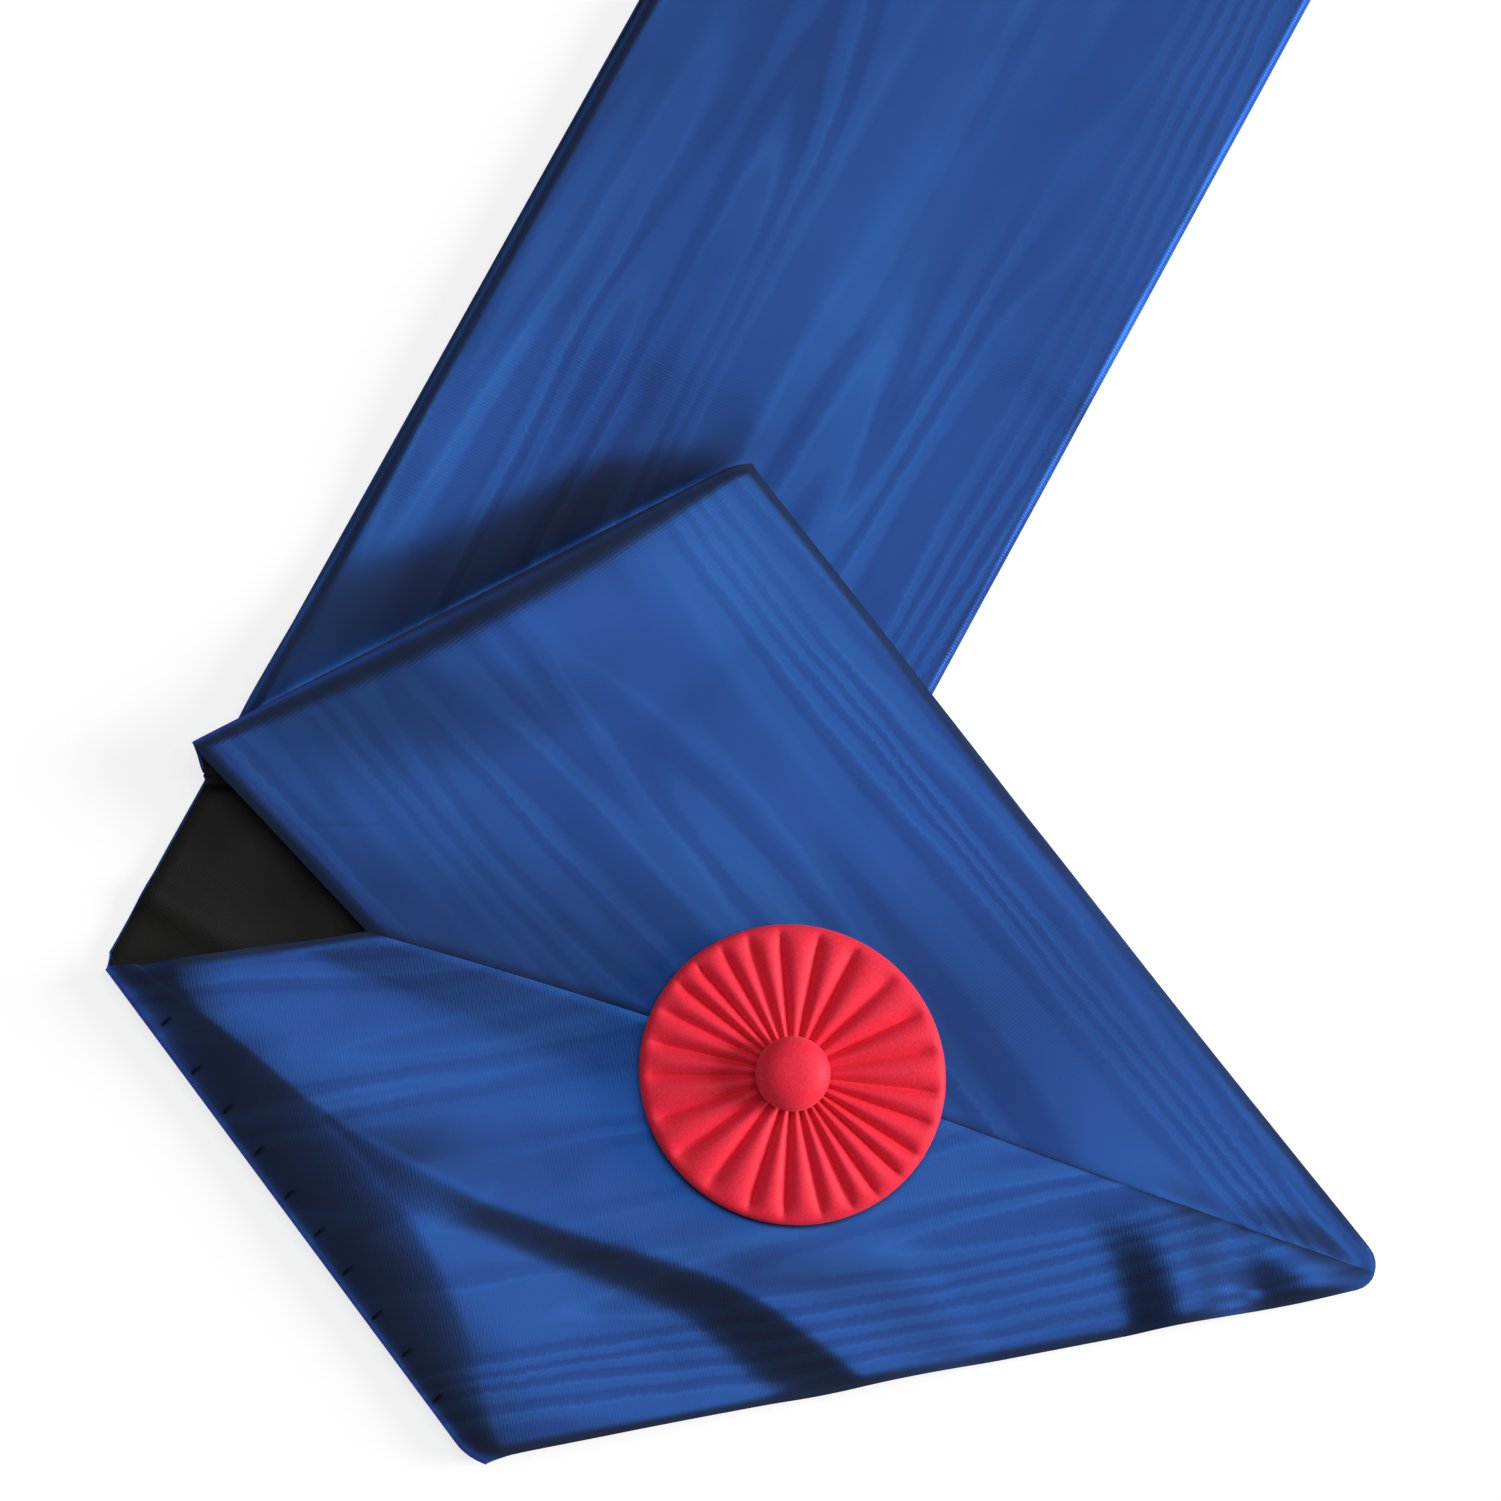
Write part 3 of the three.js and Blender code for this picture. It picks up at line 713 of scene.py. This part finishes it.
def calculate(tree, operation, a, b):
    """Arithmetic of two numbers or sockets."""
    node = tree.nodes.new("ShaderNodeMath")
    node.operation = operation
    for socket, value in zip(node.inputs, (a, b)):
        if isinstance(value, (int, float)):
            socket.default_value = value
        else:
            tree.links.new(value, socket)
    return node.outputs[0]


def add_ramp(tree, value, stops):
    """A ramp of greys or colours over a value from 0 to 1."""
    node = tree.nodes.new("ShaderNodeValToRGB")
    while len(node.color_ramp.elements) < len(stops):
        node.color_ramp.elements.new(0.5)
    for element, (at, tint) in zip(node.color_ramp.elements, stops):
        element.position = at
        element.color = (tint, tint, tint, 1) if isinstance(tint, (int, float)) else (*tint, 1)
    tree.links.new(value, node.inputs[0])
    return node.outputs[0]


def add_noise(tree, place, scale, detail):
    """Noise from 0 to 1 at each place."""
    node = tree.nodes.new("ShaderNodeTexNoise")
    node.inputs["Scale"].default_value = scale
    node.inputs["Detail"].default_value = detail
    tree.links.new(place, node.inputs["Vector"])
    return node.outputs["Fac"]


def add_bump(tree, height, strength, depth):
    """Normals that show a height as relief, with its depth in millimetres."""
    bump = tree.nodes.new("ShaderNodeBump")
    bump.inputs["Strength"].default_value = strength
    bump.inputs["Distance"].default_value = depth * MM
    tree.links.new(height, bump.inputs["Height"])
    return bump.outputs["Normal"]


def ribbon_place(tree):
    """Place on the laid-out ribbon, in ribbon widths across and along it."""
    place = tree.nodes.new("ShaderNodeUVMap")
    place.uv_map = "ribbon"
    return place.outputs["UV"]


def ribbon_noise(tree, place, size_across, size_along, detail, shift):
    """Noise whose grain has the given size across and along the ribbon."""
    scale = (RIBBON_WIDTH / size_across, RIBBON_WIDTH / size_along, 1)
    stretch = tree.nodes.new("ShaderNodeMapping")
    stretch.inputs["Scale"].default_value = scale
    stretch.inputs["Location"].default_value = (shift, shift, shift)
    tree.links.new(place, stretch.inputs["Vector"])
    return add_noise(tree, stretch.outputs[0], 1, detail)


def add_threads(tree, place, direction, pitch, unevenness=(0, 1)):
    """Height of threads that follow each other across the ribbon, X, or along it, Y."""
    threads = tree.nodes.new("ShaderNodeTexWave")
    threads.wave_type, threads.bands_direction = "BANDS", direction
    threads.inputs["Scale"].default_value = WAVE_PERIOD * RIBBON_WIDTH / pitch
    for socket, value in zip(("Distortion", "Detail Scale"), unevenness):
        threads.inputs[socket].default_value = value
    tree.links.new(place, threads.inputs["Vector"])
    return threads.outputs["Fac"]


def ribbon_finish():
    """Blue ribbed silk, pressed to a watered figure."""
    finish, tree, shader = new_finish("watered_silk", SILK)
    place = ribbon_place(tree)
    kept = tree.nodes.new("ShaderNodeAttribute")
    kept.attribute_name = "watering"
    split = tree.nodes.new("ShaderNodeSeparateXYZ")
    tree.links.new(kept.outputs["Vector"], split.inputs[0])
    level, slope, tone = split.outputs

    def swing(value, reach):
        """A value from 0 to 1 made to swing about 0."""
        return calculate(tree, "MULTIPLY", calculate(tree, "SUBTRACT", value, 0.5), reach)

    # Rows of ribs shift the grain a little to and fro, so that its lines are finely stepped
    rib_shift = swing(ribbon_noise(tree, place, *RIB_STEPS), RIB_SHIFT)
    wander = swing(ribbon_noise(tree, place, *WANDER), WANDER_SHIFT)
    moved = calculate(tree, "MULTIPLY", slope, calculate(tree, "ADD", rib_shift, wander))
    level = calculate(tree, "ADD", level, moved)
    grain = add_ramp(tree, calculate(tree, "FRACT", level, 0), GRAIN)
    strength = add_ramp(tree, ribbon_noise(tree, place, *PATCHES), GRAIN_STRENGTH)
    tone = calculate(tree, "MULTIPLY", tone, TONE_SHARE)
    figure = calculate(tree, "ADD", swing(grain, strength), tone)
    color = add_ramp(tree, calculate(tree, "ADD", figure, 0.5), SILK_COLORS)
    tree.links.new(color, shader.inputs["Base Color"])
    ribs = add_threads(tree, place, "Y", RIB_PITCH, RIB_UNEVENNESS)
    tree.links.new(add_bump(tree, ribs, *RIB_BUMP), shader.inputs["Normal"])
    return finish


watered_ribbon.data.materials.append(ribbon_finish())
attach(watered_ribbon, "root")
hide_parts("moire_ribbon")

# Lining. A strip of plain black cloth, a little narrower than the ribbon and slip-stitched to its
# back. It shows only where the under band turns back at the lower left.
LINING_SET_IN, LINING_WALL, LINING_GAP, LINING_EDGE_ROUND = 0.5, 0.7, 0.15, 0.2
LINING_COLUMNS = 41
set_in_share = LINING_SET_IN / RIBBON_WIDTH
lining_shares = np.linspace(set_in_share, 1 - set_in_share, LINING_COLUMNS)
lining_middle, lining_travel = loop_surface(lining_shares)
lining_top = lining_middle + face_normals(lining_middle) * (SHEET / 2 - RIBBON_WALL - LINING_GAP)
lining, _, _ = lay_strip("lining", lining_top, lining_travel, lining_shares)
sew_ends_and_give_wall(lining, LINING_WALL, LINING_EDGE_ROUND)

# Its gloss is cloudy. Clouds: size in millimetres and detail. Threads: pitch in millimetres, and
# the strength and depth of their bump
CLOUD_SIZE, CLOUD_DETAIL = 16, 3
LINING_PITCH, LINING_BUMP = 0.5, (0.15, 0.1)
LINING_SHADES = [(0.35, (0.0045, 0.0045, 0.0042)), (0.65, (0.0075, 0.0075, 0.0068))]
LINING_ROUGHNESS = [(0.35, 0.44), (0.65, 0.56)]


def lining_finish():
    """Black plain-woven lining cloth with a faint, cloudy gloss."""
    finish, tree, shader = new_finish("black_lining", {"Specular IOR Level": 0.2})
    place = ribbon_place(tree)
    cloud = add_noise(tree, place, RIBBON_WIDTH / CLOUD_SIZE, CLOUD_DETAIL)
    tree.links.new(add_ramp(tree, cloud, LINING_SHADES), shader.inputs["Base Color"])
    tree.links.new(add_ramp(tree, cloud, LINING_ROUGHNESS), shader.inputs["Roughness"])
    threads = [add_threads(tree, place, direction, LINING_PITCH) for direction in ("X", "Y")]
    plain_weave = calculate(tree, "MULTIPLY", *threads)
    tree.links.new(add_bump(tree, plain_weave, *LINING_BUMP), shader.inputs["Normal"])
    return finish


lining.data.materials.append(lining_finish())
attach(lining, "root")
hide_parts("lining_ribbon")

# Rosette. A red ribbed ribbon in 25 pressed pleats round a centre, its outer edge turned under to
# a smooth rim, sewn flat on the seam of the tip.
PLEAT_COUNT, COLUMNS_A_PLEAT = 25, 14
PLEAT_WALL, LOWEST = 0.3, 0.3
OVAL = ROSETTE_WIDTH / ROSETTE_LENGTH

# Pleats are wider on two opposite sides: by how much, in radians, and where
UNEVENNESS, EVEN_AT = 0.115, 2.75

# Grooves between the pleats: their depth, and the pleats' roundness, with flatter tops the less it
# is; how much the depth varies, by a sine, and the sine's step from pleat to pleat; the share of
# the depth in the middle, and the radius from which it is full
GROOVE_DEPTH, PLEAT_ROUNDNESS = 1.65, 0.62
GROOVE_VARIATION, VARIATION_STEP = 0.25, 2.4
INNER_SHARE, FULL_RADIUS = 0.35, 9.1

# The rosette's section from under the button out to its rim and back below it: radius, height
# over the ribbon, and the share of the pleats' depth that shows there
PLEAT_SECTION = [
    (3.4, 1.7, 0.5), (5.0, 2.1, 0.8), (7.0, 2.5, 1.0), (9.5, 2.8, 1.0), (12.0, 3.0, 1.0),
    (14.5, 3.1, 1.0), (17.0, 3.1, 1.0), (19.5, 3.05, 1.0), (21.5, 2.9, 0.95), (22.8, 2.75, 0.75),
    (23.7, 2.6, 0.45), (24.3, 2.45, 0.2), (24.9, 2.2, 0.1), (25.3, 1.85, 0.06), (25.5, 1.45, 0.04),
    (25.45, 1.0, 0.04), (25.1, 0.55, 0.04), (24.5, 0.35, 0.0), (22.5, 0.33, 0.0), (20.0, 0.33, 0.0),
]

# Radii and directions at which the arms' height is read under the rosette
PROBE_RADII, PROBE_TURN = range(0, 26, 2), math.pi / 12


def slope_under_rosette():
    """Slope of the arms under the rosette, and the height at which it clears them."""
    def top(x, y):
        return float(arm_height(np.array([ROSETTE_X + x, ROSETTE_Y + y])) + SHEET / 2)

    probe = ROSETTE_WIDTH / 3
    slope = Vector((top(probe, 0) - top(-probe, 0), top(0, probe) - top(0, -probe))) / (2 * probe)
    spots = [(radius * math.cos(turn), radius * math.sin(turn))
             for radius in PROBE_RADII for turn in np.arange(0, 2 * math.pi, PROBE_TURN)]
    return slope, max(top(x, y) - slope.x * x - slope.y * y for x, y in spots)


rosette_slope, rosette_lift = slope_under_rosette()
rosette_up = Vector((-rosette_slope.x, -rosette_slope.y, 1)).normalized()
rosette_turn = Vector((0, 0, 1)).rotation_difference(rosette_up).to_matrix()
rosette_place = Vector((ROSETTE_X, ROSETTE_Y, rosette_lift + GAP))


def place_on_rosette(piece, raise_by=0.0):
    """Turns and moves a piece made in millimetres round the rosette's middle to its place."""
    for vertex in piece.data.vertices:
        at = rosette_turn @ (vertex.co + Vector((0, 0, raise_by))) + rosette_place
        vertex.co = at * MM + LAY_ORIGIN
    piece.data.update()


def pleat_angle(turns):
    """Direction of a place this share of the way round, with wider pleats on two sides."""
    even = 2 * math.pi * turns
    return even - UNEVENNESS * math.sin(2 * (even - EVEN_AT))


def groove_depth(turns, radius):
    """Depth of the groove beside a pleat, at a place round the rosette and out from its middle."""
    share = turns * PLEAT_COUNT % 1
    pleat = math.floor(turns * PLEAT_COUNT + TINY)
    crest = abs(math.sin(math.pi * share)) ** PLEAT_ROUNDNESS
    varied = 1 + GROOVE_VARIATION * math.sin(pleat * VARIATION_STEP)
    shown = min(1, mix(INNER_SHARE, 1, radius / FULL_RADIUS))
    return GROOVE_DEPTH * (1 - crest) * varied * shown


pleated_rosette = new_piece("pleated_rosette", bpy.ops.mesh.primitive_circle_add,
                            vertices=PLEAT_COUNT * COLUMNS_A_PLEAT, radius=1, fill_type="NOTHING")
bpy.ops.object.mode_set(mode="EDIT")
bpy.ops.mesh.select_all(action="SELECT")
for _ in PLEAT_SECTION[1:]:
    bpy.ops.mesh.extrude_region_move(TRANSFORM_OT_translate={"value": (0, 0, 1)})
bpy.ops.object.mode_set(mode="OBJECT")
for vertex in pleated_rosette.data.vertices:
    radius, height, shown = PLEAT_SECTION[round(vertex.co.z)]
    turns = math.atan2(vertex.co.y, vertex.co.x) / (2 * math.pi) % 1
    height = max(height - shown * groove_depth(turns, radius), LOWEST)
    angle = pleat_angle(turns)
    vertex.co = (radius * math.cos(angle), OVAL * radius * math.sin(angle), height)
place_on_rosette(pleated_rosette)
edit_all(bpy.ops.mesh.normals_make_consistent, inside=False)
top_face = max(pleated_rosette.data.polygons, key=lambda face: face.center.z)
if top_face.normal.z < 0:
    edit_all(bpy.ops.mesh.flip_normals)
give_wall(pleated_rosette, PLEAT_WALL)
bpy.ops.object.shade_smooth_by_angle(angle=math.radians(60))

# Fine ribbed ribbon. Its mottle has a scale and a detail, and its bump a strength and a depth
RED_CLOTH = {"Roughness": 0.6, "Specular IOR Level": 0.3, "Sheen Weight": 0.1}
RED_SHADES = [(0.3, (0.84, 0.013, 0.042)), (0.7, (0.98, 0.022, 0.062))]
RED_MOTTLE, RED_BUMP = (2200, 3), (0.2, 0.1)


def mottled_finish(name, values, mottle, shades, bump):
    """Cloth or thread whose shade and surface vary finely over the whole piece."""
    finish, tree, shader = new_finish(name, values)
    spot = tree.nodes.new("ShaderNodeTexCoord")
    fleck = add_noise(tree, spot.outputs["Object"], *mottle)
    tree.links.new(add_ramp(tree, fleck, shades), shader.inputs["Base Color"])
    tree.links.new(add_bump(tree, fleck, *bump), shader.inputs["Normal"])
    return finish


red_ribbon = mottled_finish("red_ribbon", RED_CLOTH, RED_MOTTLE, RED_SHADES, RED_BUMP)
pleated_rosette.data.materials.append(red_ribbon)
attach(pleated_rosette, "root")
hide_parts("rosette_pleats")

# Covered button. A round of the same ribbon drawn tight over a domed mould and gathered in below
# it; it closes the middle of the rosette.
BUTTON_RADIUS, BUTTON_HEIGHT, BUTTON_EDGE, BUTTON_BOTTOM = 6.2, 5.0, 1.3, 0.15
BUTTON_SQUARENESS, BUTTON_WALL = 2.4, 0.35

# The ball that it is made from is cut off this far below its middle, and it sits this high
BALL_CUT = 0.72
BUTTON_SEAT = 3.2
covered_button = new_piece("covered_button", bpy.ops.mesh.primitive_uv_sphere_add,
                           segments=64, ring_count=32, radius=1)
edit_all(bpy.ops.mesh.bisect, plane_co=(0, 0, -BALL_CUT), plane_no=(0, 0, 1), clear_inner=True)
for vertex in covered_button.data.vertices:
    x, y, z = vertex.co
    width = 0
    if abs(z) < 1:
        round_width = (1 - abs(z) ** BUTTON_SQUARENESS) ** (1 / BUTTON_SQUARENESS)
        width = round_width / max(math.hypot(x, y), TINY) * BUTTON_RADIUS
    stretch = BUTTON_HEIGHT - BUTTON_EDGE if z > 0 else (BUTTON_EDGE - BUTTON_BOTTOM) / BALL_CUT
    vertex.co = (x * width, y * width, BUTTON_EDGE + z * stretch)
place_on_rosette(covered_button, BUTTON_SEAT)
give_wall(covered_button, BUTTON_WALL)
bpy.ops.object.shade_smooth_by_angle(angle=math.radians(60))
covered_button.data.materials.append(red_ribbon)
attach(covered_button, "root")
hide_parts("rosette_button")

# Fold stitches. Short bars of dark thread in a row along the swollen fold at the lower left, each
# a low arc that stands on the cloth with its two ends.
STITCHES = [(-36.3, -86.7), (-28.2, -91.4), (-20.4, -94.6), (-12.4, -98.2), (-4.6, -102.2),
            (2.8, -105.4), (10.0, -108.8), (17.7, -112.9), (25.0, -116.0), (33.1, -120.1)]
STITCH_SPAN, STITCH_THREAD, STITCH_FLATNESS = 1.0, 0.27, 0.5
fold_run = unit(LOWER_FOLD["inner"], LOWER_FOLD["outer"])
across_run = Vector((-fold_run[1], fold_run[0], 0))
stitch_arcs = []
for x, y in STITCHES:
    arc = new_piece("stitch", bpy.ops.mesh.primitive_torus_add, major_segments=20,
                    minor_segments=8, major_radius=STITCH_SPAN, minor_radius=STITCH_THREAD,
                    rotation=(math.pi / 2, 0, 0))
    bpy.ops.object.transform_apply(rotation=True)
    edit_all(bpy.ops.mesh.bisect, plane_co=(0, 0, 0), plane_no=(0, 0, 1), clear_inner=True,
             use_fill=True)
    for vertex in arc.data.vertices:
        vertex.co.z *= STITCH_FLATNESS
    above = Vector((x * MM, y * MM, ribbon_high.z * 2)) + LAY_ORIGIN
    _, at, up, _ = watered_ribbon.ray_cast(above, Vector((0, 0, -1)))
    across_fold = (across_run - up * across_run.dot(up)).normalized()
    turn = Matrix((across_fold, up.cross(across_fold), up)).transposed().to_4x4()
    arc.data.transform(Matrix.Translation(at) @ turn @ Matrix.Scale(MM, 4))
    stitch_arcs.append(arc)
bpy.ops.object.select_all(action="DESELECT")
for arc in stitch_arcs:
    arc.select_set(True)
bpy.context.view_layer.objects.active = stitch_arcs[0]
bpy.ops.object.join()
fold_stitches = bpy.context.object
fold_stitches.name = fold_stitches.data.name = "fold_stitches"
bpy.ops.object.shade_smooth_by_angle(angle=math.radians(60))

THREAD = {"Roughness": 0.9, "Specular IOR Level": 0.1}
THREAD_SHADES = [(0.35, (0.003, 0.0045, 0.012)), (0.65, (0.005, 0.0075, 0.02))]
THREAD_FIBRES, THREAD_BUMP = (4000, 2), (0.2, 0.05)
dark_thread = mottled_finish("dark_thread", THREAD, THREAD_FIBRES, THREAD_SHADES, THREAD_BUMP)
fold_stitches.data.materials.append(dark_thread)
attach(fold_stitches, "root")

# The surface that the sash lies on, and soft studio light: a broad lamp low at the right of the
# picture, a soft overhead light, and dim surroundings with paler walls.
FLOOR_PAINT = {
    "Base Color": (0.36, 0.36, 0.36, 1),
    "Roughness": 0.9,
    "Emission Color": (1, 1, 1, 1),
    "Emission Strength": 0.75,
}
FLOOR_SIZE, FLOOR_DROP = 8, 0.5 * MM

# Lamps: name, turn from the picture's right and elevation in degrees, distance, size and power.
# Sky: its greys from level with the sash up to straight above
LAMPS = [("low_lamp", 0, 20, 5.0, 2.2, 310), ("overhead_lamp", 38, 77.4, 2.5, 1.7, 20.5)]
SKY = [(0.0, 0.24), (0.25, 0.19), (0.45, 0.09), (1.0, 0.06)]
floor = new_piece("floor", bpy.ops.mesh.primitive_plane_add, size=FLOOR_SIZE,
                  location=(0, 0, -FLOOR_DROP))
floor.data.materials.append(new_finish("pale_floor", FLOOR_PAINT)[0])


def add_lamp(name, turn, elevation, distance, size, power):
    """A square lamp that faces the sash."""
    bearing, rise = VIEW_AZIMUTH + math.radians(turn), math.radians(elevation)
    side = Vector((
        math.cos(bearing) * math.cos(rise),
        math.sin(bearing) * math.cos(rise),
        math.sin(rise),
    ))
    lamp_data = bpy.data.lights.new(name, "AREA")
    lamp_data.energy, lamp_data.size = power, size
    lamp = bpy.data.objects.new(name, lamp_data)
    lamp.location = LAY_ORIGIN + VIEW_TARGET + side * distance
    lamp.rotation_euler = side.to_track_quat("Z", "Y").to_euler()
    bpy.context.scene.collection.objects.link(lamp)


for lamp in LAMPS:
    add_lamp(*lamp)
world = bpy.data.worlds.new("pale_studio")
world.use_nodes = True
sky = world.node_tree
heading = sky.nodes.new("ShaderNodeTexCoord")
split = sky.nodes.new("ShaderNodeSeparateXYZ")
sky.links.new(heading.outputs["Generated"], split.inputs[0])
sky.links.new(add_ramp(sky, split.outputs["Z"], SKY), sky.nodes["Background"].inputs["Color"])
bpy.context.scene.world = world
bpy.context.scene.view_settings.view_transform = "Standard"
